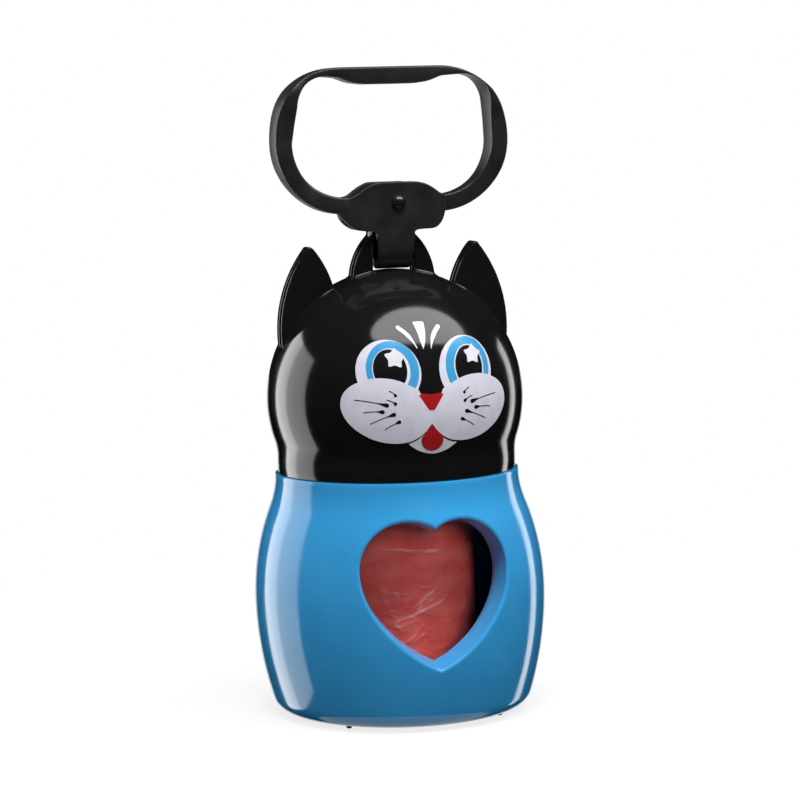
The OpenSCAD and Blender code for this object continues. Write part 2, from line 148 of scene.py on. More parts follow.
# Thin polyethylene film wound tight: soft sheen and fine crinkles that run round the roll
def film_finish():
    material, tree, shader, place = finish("red polyethylene film", IOR=1.5)
    # Layers lie a little denser or looser over 7 mm, stretched round the roll
    flat = add(tree, "ShaderNodeMapping", {"Scale": (1.0, 1.0, 2.2)}, {"Vector": place}).outputs["Vector"]
    layers = add(tree, "ShaderNodeTexNoise", {"Scale": 140.0, "Detail": 3.0}, {"Vector": flat}).outputs["Fac"]
    tone = add(tree, "ShaderNodeValToRGB", None, {"Fac": layers},
               [(0.3, tint("#DF524C")), (0.5, tint("#EB625B")), (0.72, tint("#F3776E"))])
    shine = add(tree, "ShaderNodeValToRGB", None, {"Fac": layers}, [(0.3, grey(0.28)), (0.7, grey(0.4))])
    # Folds stand out up to 0.34 mm, and their crests are painted paler: a painted highlight along each fold
    across = add(tree, "ShaderNodeVectorMath", {1: (1.0, 1.0, 0.0)}, {0: place}, operation="MULTIPLY")
    out = add(tree, "ShaderNodeVectorMath", None, {0: across.outputs["Vector"]}, operation="LENGTH")
    folded = add(tree, "ShaderNodeMapRange",
                 {"From Min": (ROLL_R - 0.36) * MM, "From Max": (ROLL_R - 0.08) * MM},
                 {"Value": out.outputs["Value"]})
    # Painted highlight: the film's colour is mixed towards pale pink on the fold crests
    painted_fold_highlight = add(tree, "ShaderNodeMix", {"B": tint("#FBB9B2")},
               {"Factor": folded.outputs["Result"], "A": tone.outputs["Color"]}, data_type="RGBA")
    # Crinkles 1.2 mm long and 0.4 mm high
    crinkle = add(tree, "ShaderNodeTexNoise", {"Scale": 850.0, "Detail": 3.0, "Distortion": 0.8},
                  {"Vector": flat})
    bump = add(tree, "ShaderNodeBump", {"Strength": 0.3, "Distance": 0.00012},
               {"Height": crinkle.outputs["Fac"]})
    for source, socket in ((painted_fold_highlight.outputs["Result"], "Base Color"), (shine.outputs["Color"], "Roughness"),
                           (bump.outputs["Normal"], "Normal")):
        tree.links.new(source, shader.inputs[socket])
    return material


film = film_finish()


# Pad-printed ink: opaque, a little less glossy than the plastic, thinner in patches 2.4 mm across
def ink(name, colour, thin):
    return finish(name, Roughness=0.22, IOR=1.5, patterns=(
        ("Base Color", {"Scale": 420.0, "Detail": 3.0}, [(0.3, tint(thin)), (0.6, tint(colour))]),))[0]


white_ink = ink("white printed ink", "#D2D2DE", "#CACAD7")
bright_ink = ink("bright white printed ink", "#D8D9DF", "#D0D1D8")
blue_ink = ink("blue printed ink", "#3E97CC", "#3A90C5")
black_ink = ink("black printed ink", "#121113", "#161517")
red_ink = ink("red printed ink", "#A81C20", "#9E191D")


# What a piece is made of, the body it rides on and its slot
BODY = (blue_abs, "body", "blue_plastic")
HEAD = (black_abs, "head", "black_plastic")
STRAP = (rubber, "strap", "black_rubber")


# Mesh helpers

def placed(name, data):
    made = bpy.data.objects.new(name, data)
    bpy.context.collection.objects.link(made)
    return made


def new_mesh(name, points, faces, material):
    """A mesh from points in millimetres."""
    mesh = bpy.data.meshes.new(name)
    mesh.from_pydata([Vector(p) * MM for p in points], [], faces)
    mesh.materials.append(material)
    return mesh


def piece(name, points, faces, material, body, slot=None, sharp=38.0):
    """A smooth-shaded mesh riding on a body."""
    mesh = new_mesh(name, points, faces, material)
    shape = bmesh.new()
    shape.from_mesh(mesh)
    bmesh.ops.remove_doubles(shape, verts=shape.verts, dist=1e-7)
    bmesh.ops.delete(shape, geom=[v for v in shape.verts if not v.link_faces], context="VERTS")
    bmesh.ops.recalc_face_normals(shape, faces=shape.faces)
    shape.to_mesh(mesh)
    shape.free()
    mesh.shade_smooth()
    mesh.set_sharp_from_angle(angle=radians(sharp))
    made = placed(name, mesh)
    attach(made, body)
    return made


def ring_faces(a, b):
    """The faces between two rings of points."""
    return list(zip(a, a[1:] + a[:1], b[1:] + b[:1], b))


def tube_faces(rings, count, lids=(0, -1)):
    """The faces along rings of count points each, with lids on the named rings."""
    levels = [list(range(i * count, (i + 1) * count)) for i in range(rings)]
    faces = [face for a, b in zip(levels, levels[1:]) for face in ring_faces(a, b)]
    return faces + [tuple(levels[end]) for end in lids]


def turned(name, axis, middle, rows, material, body, slot, count, sharp=38.0, lids=(0, -1)):
    """A round piece about a line along an axis (0, 1 or 2) through the middle; rows are (place, radius)."""
    points = []
    for along, r in rows:
        for n in range(count):
            a = 2 * pi * n / count
            point = [middle[0] + r * cos(a), middle[1] + r * sin(a)]
            point.insert(axis, along)
            points.append(point)
    return piece(name, points, tube_faces(len(rows), count, lids), material, body, slot, sharp)


def soften(made, width, steps, angle=35.0):
    """Rounded edges."""
    bevel = made.modifiers.new("rounded edges", "BEVEL")
    bevel.width = width * MM
    bevel.segments = steps
    bevel.limit_method = "ANGLE"
    bevel.angle_limit = radians(angle)
    bevel.harden_normals = True


def polar(r, turn, cx=0.0, cz=0.0):
    """A point at a distance and an angle in degrees from a centre."""
    return (cx + r * cos(radians(turn)), cz + r * sin(radians(turn)))


def arc(cx, cz, r, a0, a1, step):
    """Points on a circle between two angles in degrees, no further apart than a step."""
    count = max(2, ceil(abs(a1 - a0) / step))
    return [polar(r, a0 + (a1 - a0) * i / count, cx, cz) for i in range(count + 1)]


# Body outline, turned about Z

LOWER_X = BELLY_R - LOWER_ARC
UPPER_X = BELLY_R - UPPER_ARC
CORNER_C = BASE_Z + CORNER_R
CORNER_X = LOWER_X + sqrt((LOWER_ARC - CORNER_R) ** 2 - (BELLY_Z - CORNER_C) ** 2)
CORNER_A = -degrees(asin((BELLY_Z - CORNER_C) / (LOWER_ARC - CORNER_R)))
LIP_A = -degrees(acos((LIP_R - CORNER_X) / CORNER_R))
TURN_A = degrees(asin((TURN_Z - BELLY_Z) / UPPER_ARC))
TURN_R = (SEAM_Z - TURN_Z) / sin(radians(TURN_A))
TURN_X = polar(UPPER_ARC + TURN_R, TURN_A, UPPER_X)[0]
# Rows and angle of the front's patch that holds the window; its top is lower on the inside
PATCH_LOW, PATCH_HIGH, PATCH_IN, PATCH_A = 9.0, 44.4, 39.9, 42.5


def side_r(z):
    """Outer radius of the body at a height between its bottom corner and the seam."""
    if z < BELLY_Z:
        return LOWER_X + sqrt(LOWER_ARC ** 2 - (BELLY_Z - z) ** 2)
    if z < TURN_Z:
        return UPPER_X + sqrt(UPPER_ARC ** 2 - (z - BELLY_Z) ** 2)
    return TURN_X - sqrt(max(0.0, TURN_R ** 2 - (SEAM_Z - z) ** 2))


def spread(low, high, step):
    """Even steps from low to high."""
    count = max(1, round((high - low) / step))
    return [low + (high - low) * i / count for i in range(count + 1)]


def side_rows(depth, heights):
    """The body's outline at some heights, moved in by a depth."""
    return [(side_r(z) - depth, z) for z in heights]


patch_rows = spread(PATCH_LOW, PATCH_HIGH, 0.95)
inner_patch = [PATCH_LOW + (z - PATCH_LOW) * (PATCH_IN - PATCH_LOW) / (PATCH_HIGH - PATCH_LOW)
               for z in patch_rows]
corner_top = arc(CORNER_X, CORNER_C, CORNER_R, LIP_A, CORNER_A, 6)
outer_rows = corner_top + side_rows(0.0, spread(corner_top[-1][1], PATCH_LOW, 0.9)[1:-1] + patch_rows
                                    + spread(PATCH_HIGH, SEAM_Z - 0.25, 0.7)[1:])
mouth_rows = [(side_r(SEAM_Z) - 0.07, SEAM_Z - 0.07), (side_r(SEAM_Z) - 0.25, SEAM_Z),
              (MOUTH_R + 0.2, SEAM_Z), (MOUTH_R, SEAM_Z - 0.2), (MOUTH_R, MOUTH_Z)]
inner_rows = (side_rows(WALL, inner_patch[::-1] + [7.5, 6.0, 4.7])
              + [(22.8, 4.0), (22.8, 3.2), (23.4, 3.2), (23.4, LIP_TOP), (LIP_R, LIP_TOP)])
body_rows = outer_rows + mouth_rows + inner_rows


# Angle and depth of the parting line's groove
GROOVE_A, GROOVE_D = 0.3, 0.13


def turned_half(rows, front, outer_count):
    """Points of half a turned shell: columns by angle, closer beside the parting line, and rows along the
    outline. The outer rows dip at the two ends, which makes half of the parting line."""
    step = 2.5
    edge = [0.0, GROOVE_A, GROOVE_A * 2.5]
    turns = [-90 + e for e in edge] + [-90 + step * i for i in range(1, round(180 / step))]
    turns = [t + (0 if front else 180) for t in turns + [90 - e for e in reversed(edge)]]
    points = []
    for column, turn in enumerate(turns):
        at_end = column in (0, len(turns) - 1)
        sine, cosine = sin(radians(turn)), cos(radians(turn))
        for row, (r, z) in enumerate(rows):
            dip = GROOVE_D if at_end and row < outer_count and r > 1 else 0.0
            points.append(((r - dip) * sine, -(r - dip) * cosine, z))
    return points, turns


def grid_faces(columns, rows, closed, skip=()):
    """The faces of a grid of points, without the ones in patches (i0, i1, j0, j1)."""
    faces = []
    last = rows if closed else rows - 1
    for i in range(columns - 1):
        for j in range(last):
            if any(i0 <= i < i1 and j0 <= j < j1 for i0, i1, j0, j1 in skip):
                continue
            k = (j + 1) % rows
            faces.append((i * rows + j, (i + 1) * rows + j, (i + 1) * rows + k, i * rows + k))
    return faces


# Heart window

LOBE_X, LOBE_Z, LOBE_R = 5.7, 31.25, 9.55
HEART_SIDE_R, HEART_LOW_R = 16.5, 30.9
HEART_JOIN, HEART_LOW = -6.0, -35.0
HEART_DEPTH, HEART_WALL, HEART_LEAN, HEART_RIM = 5.5, 1.5, 1.1, 0.8
HEART_MID = LOBE_Z - 4.65
LEAN_RATE = HEART_LEAN / (LOBE_X + LOBE_R) / HEART_DEPTH


def flipped(line):
    """The line's mirror image, from its end back to its start."""
    return [(-x, z) for x, z in reversed(line)]


def heart_outline(grow):
    """The window's outline seen from the front, grown by a width."""
    join, low = radians(HEART_JOIN), radians(HEART_LOW)
    side = (LOBE_X - (HEART_SIDE_R - LOBE_R) * cos(join),
            LOBE_Z - (HEART_SIDE_R - LOBE_R) * sin(join))
    under = (side[0] - (HEART_LOW_R - HEART_SIDE_R) * cos(low),
             side[1] - (HEART_LOW_R - HEART_SIDE_R) * sin(low))
    low_r, side_radius, lobe = HEART_LOW_R + grow, HEART_SIDE_R + grow, LOBE_R + grow
    half = (arc(*under, low_r, -degrees(acos(-under[0] / low_r)), HEART_LOW, 0.5)
            + arc(*side, side_radius, HEART_LOW, HEART_JOIN, 0.7)
            + arc(LOBE_X, LOBE_Z, lobe, HEART_JOIN, degrees(acos(-LOBE_X / lobe)), 1.0))
    return half + flipped(half)


def hit_outline(outline, centre, aim):
    """Where the line from the centre towards the aim crosses the outline."""
    best = None
    dx, dz = aim[0] - centre[0], aim[1] - centre[1]
    for (ax, az), (bx, bz) in zip(outline, outline[1:] + outline[:1]):
        ex, ez = bx - ax, bz - az
        det = ex * dz - ez * dx
        if abs(det) < 1e-12:
            continue
        t = (ex * (az - centre[1]) - ez * (ax - centre[0])) / det
        u = (dx * (az - centre[1]) - dz * (ax - centre[0])) / det
        if t > 0 and -1e-6 <= u <= 1 + 1e-6 and (best is None or t > best[0]):
            best = (t, (centre[0] + dx * t, centre[1] + dz * t))
    return best[1]


def on_side(x, z, depth=0.0):
    """A point of the body's front surface seen straight from the front, moved in by a depth."""
    r = side_r(z) - depth
    return (x, -sqrt(max(0.01, r * r - x * x)), z)


def leaned(point, y):
    """A point of the window's outline where its wall has reached y."""
    scale = 1 - LEAN_RATE * (y + BELLY_R)
    return (point[0] * scale, HEART_MID + (point[1] - HEART_MID) * scale)


def settle(point, depth):
    """The same point where the wall meets a surface at a depth below the body's skin."""
    at = point
    for _ in range(8):
        at = leaned(point, on_side(*at, depth)[1])
    return on_side(*at, depth)


def ring_indices(i0, i1, j0, j1, rows):
    """The points round a patch of the grid; j1 may be below j0."""
    up = 1 if j1 > j0 else -1
    around = ([(i, j0) for i in range(i0, i1)] + [(i1, j) for j in range(j0, j1, up)]
              + [(i, j1) for i in range(i1, i0, -1)] + [(i0, j) for j in range(j1, j0, -up)])
    return [i * rows + j for i, j in around]


def body_front():
    """The front half: rings of points lead from a patch of its skin over the window's rounded rim, down the
    window's wall and back to the same patch inside."""
    points, turns = turned_half(body_rows, True, len(outer_rows) + 2)
    rows, span = len(body_rows), len(patch_rows) - 1
    i0 = min(i for i, t in enumerate(turns) if t >= -PATCH_A)
    i1 = max(i for i, t in enumerate(turns) if t <= PATCH_A)
    j0 = next(j for j, (_, z) in enumerate(outer_rows) if abs(z - patch_rows[0]) < 1e-6)
    k0 = len(outer_rows) + len(mouth_rows)
    faces = grid_faces(len(turns), rows, True, skip=((i0, i1, j0, j0 + span), (i0, i1, k0, k0 + span)))
    outer_ring = ring_indices(i0, i1, j0, j0 + span, rows)
    inner_ring = ring_indices(i0, i1, k0 + span, k0, rows)
    wide = [(x, min(z, PATCH_IN - 0.05)) for x, z in heart_outline(HEART_WALL)]
    centre = (0.0, HEART_MID + 1.0)
    aims = [(points[n][0], points[n][2]) for n in outer_ring]
    hits, wide_hits = ([hit_outline(line, centre, aim) for aim in aims]
                       for line in (heart_outline(0.0), wide))
    skins = [settle(h, 0.0) for h in hits]
    normals = []
    for (ax, _, az), (x, _, z), (bx, _, bz) in zip(skins[-1:] + skins, skins, skins[1:] + skins[:1]):
        length = hypot(bx - ax, bz - az)
        nx, nz = (bz - az) / length, (ax - bx) / length
        way = -1 if nx * x + nz * (z - centre[1]) < 0 else 1
        normals.append((way * nx, way * nz))
    rings = [outer_ring]

    def ring(places):
        start = len(points)
        points.extend(places)
        rings.append(list(range(start, len(points))))

    def moved(places, out):
        """Places on a surface as seen from the front, moved away from the window."""
        return [(p[0] + n[0] * out, p[2] + n[1] * out) for p, n in zip(places, normals)]

    def ring_towards(spots, targets, share, depth):
        ring([on_side(x + (points[g][0] - x) * share, z + (points[g][2] - z) * share, depth)
              for (x, z), g in zip(spots, targets)])

    for share in (0.85, 0.68, 0.5, 0.34, 0.2, 0.1, 0.04, 0.0):
        ring_towards(moved(skins, HEART_RIM), outer_ring, share, 0.0)
    for turn in (18, 36, 54, 72, 90):
        out, down = (HEART_RIM * (1 - part(radians(turn))) for part in (sin, cos))
        ring([(x, y + down, z) for x, y, z in (on_side(*spot) for spot in moved(skins, out))])
    ends = [settle(h, HEART_DEPTH) for h in hits]
    for share in (0.3, 0.65):
        levels = [s[1] + HEART_RIM + (e[1] - s[1] - HEART_RIM) * share for s, e in zip(skins, ends)]
        spots = [leaned(h, y) for h, y in zip(hits, levels)]
        ring([(x, y, z) for (x, z), y in zip(spots, levels)])
    ring([settle(h, HEART_DEPTH - 0.3) for h in hits])
    for spots in (moved(ends, 0.25), wide_hits):
        ring([on_side(*spot, HEART_DEPTH) for spot in spots])
    for share in (0.0, 0.35, 0.7):
        ring_towards(wide_hits, inner_ring, share, WALL)
    rings.append(inner_ring)
    for a, b in zip(rings, rings[1:]):
        faces += ring_faces(a, b)
    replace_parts(piece("body_front", points, faces, *BODY), "body_front_shell")


def body_rear():
    points, turns = turned_half(body_rows, False, len(outer_rows) + 2)
    faces = grid_faces(len(turns), len(body_rows), True)
    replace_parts(piece("body_rear", points, faces, *BODY), "body_rear_shell")


body_front()
body_rear()


# Head: dome, neck, ears and bail

BLEND_X = NECK_R + NECK_BLEND
BLEND_A = -degrees(asin((HEAD_Z - BLEND_Z) / (HEAD_R + NECK_BLEND)))


def head_r(z):
    """Outer radius of the head at a height."""
    if z < BLEND_Z:
        return NECK_R
    join = BLEND_Z - NECK_BLEND * sin(radians(BLEND_A))
    if z < join:
        return BLEND_X - sqrt(NECK_BLEND ** 2 - (z - BLEND_Z) ** 2)
    return sqrt(max(0.0, HEAD_R ** 2 - (z - HEAD_Z) ** 2))


def head_rows(depth):
    """The neck's and the dome's outline, moved in by a depth."""
    return ([(NECK_R - depth, BLEND_Z - 1.2)]
            + arc(BLEND_X, BLEND_Z, NECK_BLEND + depth, 180, 180 + BLEND_A, 2)
            + arc(0, HEAD_Z, HEAD_R - depth, BLEND_A, 88.5, 2.2)[1:]
            + [(0.02, HEAD_Z + HEAD_R - depth)])


def head_half(name, front, node):
    outer = [(NECK_R - 0.22, SEAM_Z + 0.02), (NECK_R - 0.06, SEAM_Z + 0.08),
             (NECK_R, SEAM_Z + 0.25)] + head_rows(0.0)
    inner = head_rows(WALL)[::-1] + [(NECK_R - WALL, SEAM_Z + 0.02)]
    rows = outer + inner
    points, turns = turned_half(rows, front, len(outer) - 1)
    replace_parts(piece(name, points, grid_faces(len(turns), len(rows), True), *HEAD), node)


head_half("head_front", True, "head_front_shell")
head_half("head_rear", False, "head_rear_shell")


SIDES = ((-1, "left"), (1, "right"))


def fins(kind, outline, round_by, steps):
    """A flat fin with rounded edges, seen from the front, as two halves on both sides of the head."""
    count = len(outline)
    faces = [tuple(range(count)), tuple(range(2 * count - 1, count - 1, -1))]
    for n in range(count):
        m = (n + 1) % count
        faces.append((n, n + count, m + count, m))
    for side, word in SIDES:
        for half, levels in (("front", (-FIN, -FIN_GAP)), ("rear", (FIN_GAP, FIN))):
            points = [(side * x, y, z) for y in levels for x, z in outline]
            soften(piece(f"{kind}_{word}_{half}", points, faces, *HEAD), round_by, steps)


def arc_between(p, q, r, count):
    """Points from p to q on the circle that bulges to the left of the way."""
    dx, dz = q[0] - p[0], q[1] - p[1]
    length = hypot(dx, dz)
    h = sqrt(r * r - length * length / 4)
    cx, cz = (p[0] + q[0]) / 2 + h * dz / length, (p[1] + q[1]) / 2 - h * dx / length
    a0, a1 = (atan2(z - cz, x - cx) for x, z in (p, q))
    if a1 > a0:
        a1 -= 2 * pi
    turns = [a0 + (a1 - a0) * i / count for i in range(count + 1)]
    return [(cx + r * cos(a), cz + r * sin(a)) for a in turns]


def ear_outline():
    tip_x, tip_z = polar(HEAD_R + 9.4, 61.1)
    inside = arc_between(polar(HEAD_R, 61), (tip_x - 0.72, tip_z - 0.75), 20.0, 14)
    crown = [(tip_x + x, tip_z - z) for x, z in ((-0.4, 0.44), (-0.03, 0.3), (0.36, 0.38), (0.66, 0.64))]
    outside = arc_between((tip_x + 0.84, tip_z - 0.95), polar(HEAD_R, 25), 26.0, 22)
    sunk = [(20.3, 8.6), (17.5, 13.8), (14.0, 17.5), (11.0, 20.0)]
    return [(x, HEAD_Z + z) for x, z in inside + crown + outside + sunk]


def bail_outline():
    slot, foot, reach = 4.15, 8.0, 12.5
    # Hollow curve where the bail runs into the dome
    blend = [(10.6, TOP_Z - 3.2), (9.5, TOP_Z - 2.35), (8.75, TOP_Z - 1.5)]
    cx, cz = foot - sqrt(reach ** 2 - 2.6 ** 2), TOP_Z - 2.3
    top = degrees(acos((slot - cx) / reach))
    return blend + arc(cx, cz, reach, 5.0, top, 4) + [(slot, TOP_Z - 2.5), (foot - 1, TOP_Z - 3.4)]


fins("ear", ear_outline(), 0.4, 4)
fins("bail", bail_outline(), 0.35, 3)


def root_fillet(name, side, front, start, end):
    """The small hollow curve where a fin meets the dome; angles from the side, about the dome's middle."""
    points = []
    count, steps = 30, 6
    quarter = [radians(90 * n / steps) for n in range(steps + 1)]
    for k in range(count + 1):
        t = k / count
        r = ROOT_R * min(1.0, 0.15 + 6 * min(t, 1 - t))
        rho = sqrt(HEAD_R ** 2 - (FIN + r) ** 2)
        profile = [(rho + r - r * sin(q), FIN + r - r * cos(q)) for q in quarter]
        for out, y in profile + [(rho - 0.3, FIN - 0.3), (rho + r, FIN - 0.3)]:
            x, z = polar(out, start + (end - start) * t, 0.0, HEAD_Z)
            points.append((side * x, -y if front else y, z))
    piece(name, points, tube_faces(count + 1, steps + 3), *HEAD, 50)


for side, word in SIDES:
    for front, half in ((True, "front"), (False, "rear")):
        root_fillet(f"ear_{word}_{half}_root", side, front, 25.5, 60.5)
        root_fillet(f"bail_{word}_{half}_root", side, front, 70.5, 80.2)

turned("bail_bar", 0, (0.0, BAR_Z),
       [(-4.75, 0.6), (-4.6, 1.3), (-4.15, 1.95), (4.15, 1.95), (4.6, 1.3), (4.75, 0.6)], *HEAD, 48)


# Base plate: turned, with four small feet and the hollow spigot that centres the roll

def base_plate():
    plate, rim, bore, spigot, bore_top = LIP_R - 0.05, 23.28, 4.25, 5.75, 13.6
    top = LIP_TOP + 0.05 + 1.2
    rows = [(0.02, bore_top), (bore, bore_top), (bore, BASE_Z + 0.3), (4.5, BASE_Z), (plate - 0.6, BASE_Z),
            (plate - 0.18, BASE_Z + 0.16), (plate, BASE_Z + 0.6), (plate, LIP_TOP + 0.05),
            (rim, LIP_TOP + 0.05), (rim, top), (spigot, top), (spigot, top + 11.0),
            (5.45, top + 11.7), (4.75, top + 12.0), (0.02, top + 12.0)]
    count = 120
    points = []
    for n in range(count):
        a = 2 * pi * n / count
        points.extend((r * cos(a), r * sin(a), z) for r, z in rows)
    points.extend(points[:len(rows)])
    made = piece("base_disc", points, grid_faces(count + 1, len(rows), False), *BODY, 30)
    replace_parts(made, "base_plate")
    for k in range(4):
        turned(f"foot_{k + 1}", 2, polar(plate - 1.2, 45 + 90 * k),
               [(BASE_Z + 0.2, 0.55), (0.2, 0.55), (0.06, 0.49), (0.0, 0.36)], *BODY, 24, lids=(-1,))


base_plate()


# Bag roll: film wound round the core, with the folds that pulling on it leaves

# Folds as (degrees round the roll from the front, height) with how far each stands out and how wide it is
FOLDS = [([(-42, 33.8), (-19, 33.7), (-6, 33.4), (8, 33.1), (26, 32.8)], 0.27, 0.26),
         ([(-26, 19.0), (-14, 20.2), (-7, 20.7), (2, 21.8), (12, 22.6), (18, 23.4), (25, 25.2)], 0.34, 0.3),
         ([(-28, 19.4), (-18, 18.6), (-9, 19.2), (2, 20.2)], 0.26, 0.24),
         ([(-16, 15.0), (-8, 16.5), (-2, 17.9), (3, 19.4)], 0.25, 0.26),
         ([(-13, 15.1), (-4, 16.0), (5, 17.9)], 0.2, 0.24),
         ([(-9, 21.6), (-3, 22.9), (4, 24.4), (12, 25.7), (19, 27.6)], 0.22, 0.26),
         ([(-33, 25.8), (-20, 25.2), (-10, 25.0), (0, 25.3)], 0.18, 0.26),
         ([(-12, 27.1), (2, 26.1), (10, 26.7)], 0.16, 0.24),
         ([(-7, 20.8), (0, 22.4), (8, 23.6), (24, 25.3)], 0.17, 0.26),
         ([(-28, 21.3), (-17, 22.1), (-4, 22.6)], 0.14, 0.24),
         ([(-12, 35.1), (-3, 34.6), (7, 34.9)], 0.16, 0.24)]
# The same folds come back round the roll: degrees round, shift in height, and which way they lean
ROUND = [(0, 0, 1), (86, 14, 1), (172, -3, -1), (262, 9, 1),
         (40, 27, -1), (128, 31, 1), (215, 24, 1), (305, 29, -1)]


def fold_heights(across, along):
    """How far the film stands out at each point of the roll's grid."""
    out = [[0.0] * across for _ in range(along + 1)]
    pitch_a, pitch_z = 2 * pi * ROLL_R / across, ROLL_H / along
    for turn, shift, lean in ROUND:
        for line, lift, wide in FOLDS:
            spots = [(radians(turn + a * lean) * ROLL_R, z + shift - ROLL_Z) for a, z in line]
            total = len(spots) - 1
            reach = 3.2 * wide
            for n, ((ax, az), (bx, bz)) in enumerate(zip(spots, spots[1:])):
                dx, dz = bx - ax, bz - az
                span = dx * dx + dz * dz
                low_j, high_j = int((min(az, bz) - reach) / pitch_z), int((max(az, bz) + reach) / pitch_z)
                low_i, high_i = int((min(ax, bx) - reach) / pitch_a), int((max(ax, bx) + reach) / pitch_a)
                for j in range(max(0, low_j), min(along, high_j) + 1):
                    for i in range(low_i, high_i + 1):
                        px, pz = i * pitch_a - ax, j * pitch_z - az
                        t = min(1.0, max(0.0, (px * dx + pz * dz) / span))
                        ex, ez = px - dx * t, pz - dz * t
                        off = hypot(ex, ez) * (0.32 if ez < 0 else 1.0)
                        ends = sin(pi * min(1.0, max(0.0, (n + t) / total))) ** 0.6
                        height = lift * ends * exp(-(off / wide) * 1.5)
                        out[j][i % across] = max(out[j][i % across], height)
    return out


def bag_roll():
    across, along = 380, 236
    folds = fold_heights(across, along)
    top = ROLL_Z + ROLL_H
    # How far the plain film lies below the roll's full radius, its waviness and its crinkles
    sunk, swell, ridge = 0.48, 0.07, 0.13
    turns = [2 * pi * n / across for n in range(across)]
    points = []
    for j in range(along + 1):
        z = ROLL_Z + ROLL_H * j / along
        worn = 0.5 * max(0.0, 1 - min(z - ROLL_Z, top - z) / 0.8) ** 2
        for n, a in enumerate(turns):
            soft = noise.noise(Vector((sin(a) * 3.4, cos(a) * 3.4, z * 0.16)))
            # Fine crinkles, long round the roll and 2 mm apart, some of them slanting
            slant = z * 0.5 + 1.1 * sin(a - 0.4)
            crinkle = (1 - abs(noise.noise(Vector((sin(a) * 3.2, cos(a) * 3.2, slant))))) ** 12
            r = ROLL_R - sunk + swell * soft + ridge * crinkle + folds[j][n] - worn
            points.append((r * sin(a), -r * cos(a), z))
    faces = tube_faces(along + 1, across, ())
    # Ends: the wound layers stand a little unevenly
    edge_r, layers = ROLL_R - 0.95, 16
    for end, start in ((0, 0), (1, along * across)):
        last = list(range(start, start + across))
        for k in range(1, layers + 1):
            r = edge_r + (CORE_R - edge_r) * (k / layers)
            ring = list(range(len(points), len(points) + across))
            for a in turns:
                wave = 0.12 * sin(k * 2.4 + a) if k < layers else 0.0
                level = top - 0.12 + wave if end else ROLL_Z + 0.12 + abs(wave)
                points.append((r * sin(a), -r * cos(a), min(level, top)))
            faces += ring_faces(last, ring)
            last = ring
    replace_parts(piece("wound_bags", points, faces, film, "roll", "bag_film", 60), "bag_roll")


bag_roll()
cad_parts["roll_core"].material_slots[0].material = board
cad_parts["neck_collar"].material_slots[0].material = black_abs


# Rubber hanger: the hand loop, as rounded sections set round its outline

def blend(value, stops):
    """Smooth steps between listed values."""
    if value <= stops[0][0]:
        return stops[0][1]
    for (a, p), (b, q) in zip(stops, stops[1:]):
        if value <= b:
            t = (value - a) / (b - a)
            return p + (q - p) * t * t * (3 - 2 * t)
    return stops[-1][1]


def resample(line, count):
    """The same line as count even steps."""
    lengths = [0.0]
    for p, q in zip(line, line[1:]):
        lengths.append(lengths[-1] + hypot(q[0] - p[0], q[1] - p[1]))
    out = []
    k = 0
    for i in range(count + 1):
        want = lengths[-1] * i / count
        while k < len(line) - 2 and lengths[k + 1] < want:
            k += 1
        t = (want - lengths[k]) / max(1e-9, lengths[k + 1] - lengths[k])
        out.append(tuple(line[k][a] + (line[k + 1][a] - line[k][a]) * t for a in (0, 1)))
    return out


